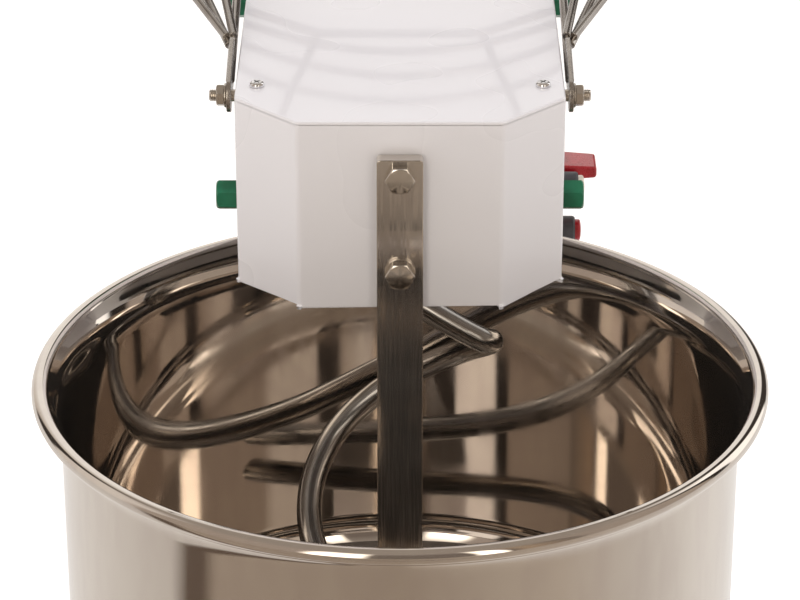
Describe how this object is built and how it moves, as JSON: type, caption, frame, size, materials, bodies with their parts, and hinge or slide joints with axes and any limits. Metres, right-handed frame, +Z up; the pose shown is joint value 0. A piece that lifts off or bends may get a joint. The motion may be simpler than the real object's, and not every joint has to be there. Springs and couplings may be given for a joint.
{
  "type": "spiral dough mixer",
  "caption": "Floor-standing spiral dough mixer with a fixed white head, open stainless bowl that turns, spiral hook, breaker bar and wire guard raised over the head.",
  "frame": {"origin": "centre of the bounding box's bottom face, on the floor", "axes": "+Z up, +Y from the bowl towards the column at the back, +X to the right of someone who faces the bowl"},
  "size_m": [0.482, 0.8, 1.0208],
  "materials": {
    "white_paint": "gloss",
    "polished_stainless": "polished",
    "zinc_steel": "satin",
    "black_steel": "satin",
    "cast_grey": "matte",
    "green_plastic": "gloss",
    "red_plastic": "gloss",
    "white_plastic": "gloss",
    "yellow_plastic": "matte",
    "dark_plastic": "matte",
    "rubber": "matte"
  },
  "bodies": {
    "frame": {"base_housing": "white_paint", "base_bottom_plate": "zinc_steel", "foot_front_left": "rubber", "foot_front_right": "rubber", "foot_rear_left": "rubber", "foot_rear_right": "rubber", "base_beam": "black_steel", "column_upright_left": "black_steel", "column_upright_right": "black_steel", "head_beam": "black_steel", "body_shell": "white_paint", "head_underplate": "white_paint", "top_lid": "white_paint", "rear_panel": "white_paint", "lid_screw_front_left": "zinc_steel", "lid_screw_front_right": "zinc_steel", "lid_screw_rear_left": "zinc_steel", "lid_screw_rear_right": "zinc_steel", "gearbox_housing": "cast_grey", "motor_body": "cast_grey", "motor_fan_cover": "black_steel", "electrical_box": "dark_plastic", "bowl_bearing_upper": "cast_grey", "bowl_bearing_lower": "cast_grey", "drive_bearing_upper": "cast_grey", "drive_bearing_lower": "cast_grey", "spiral_bearing_upper": "cast_grey", "spiral_bearing_lower": "cast_grey", "upper_chain": "zinc_steel", "lower_chain": "zinc_steel", "breaker_bar": "polished_stainless", "bar_bolt_upper": "polished_stainless", "bar_bolt_lower": "polished_stainless", "bar_washer_lower": "polished_stainless", "guard_pivot_left": "polished_stainless", "guard_pivot_right": "polished_stainless", "bolt_cap_front_left": "green_plastic", "bolt_cap_front_right": "green_plastic", "bolt_cap_rear_left": "green_plastic", "bolt_cap_rear_right": "green_plastic", "switch_plate": "yellow_plastic", "start_button_bezel": "dark_plastic", "stop_button_bezel": "dark_plastic", "cable_gland": "dark_plastic"},
    "bowl_body": {"bowl": "polished_stainless", "bowl_hub": "zinc_steel", "bowl_sprocket": "zinc_steel"},
    "spiral_body": {"spiral_hook": "polished_stainless", "spiral_shaft": "zinc_steel", "spiral_sprocket": "zinc_steel"},
    "drive_body": {"drive_shaft": "zinc_steel", "drive_sprocket_upper": "zinc_steel", "drive_sprocket_lower": "zinc_steel"},
    "guard": {"guard_cage": "polished_stainless", "guard_plate_left": "polished_stainless", "guard_plate_right": "polished_stainless"},
    "switch": {"switch_handle": "red_plastic"},
    "start": {"start_button": "white_plastic"},
    "stop": {"stop_button": "red_plastic"}
  },
  "joints": [
    {"name": "bowl_spin", "type": "hinge", "parent": "frame", "child": "bowl_body", "pos_m": [0, -0.159, 0.38], "axis": [0, 0, 1], "continuous": true},
    {"name": "spiral_spin", "type": "hinge", "parent": "frame", "child": "spiral_body", "pos_m": [0, -0.017, 0.72], "axis": [0, 0, 1], "continuous": true},
    {"name": "drive_spin", "type": "hinge", "parent": "frame", "child": "drive_body", "pos_m": [0, 0.19, 0.5], "axis": [0, 0, 1], "continuous": true},
    {"name": "guard_hinge", "type": "hinge", "parent": "frame", "child": "guard", "pos_m": [0, -0.085, 0.813], "axis": [1, 0, 0], "range_deg": [0, 170]},
    {"name": "switch_turn", "type": "hinge", "parent": "frame", "child": "switch", "pos_m": [0.107, 0.145, 0.663], "axis": [1, 0, 0], "range_deg": [0, 90]},
    {"name": "start_press", "type": "slide", "parent": "frame", "child": "start", "axis": [-1, 0, 0], "range_m": [0, 0.0025], "stiffness_N_per_m": 400, "springref_m": -0.003},
    {"name": "stop_press", "type": "slide", "parent": "frame", "child": "stop", "axis": [-1, 0, 0], "range_m": [0, 0.0025], "stiffness_N_per_m": 400, "springref_m": -0.003}
  ],
  "couplings": [
    {"joint": "drive_spin", "follows": "bowl_spin", "ratio": 8},
    {"joint": "spiral_spin", "follows": "bowl_spin", "ratio": 8}
  ]
}
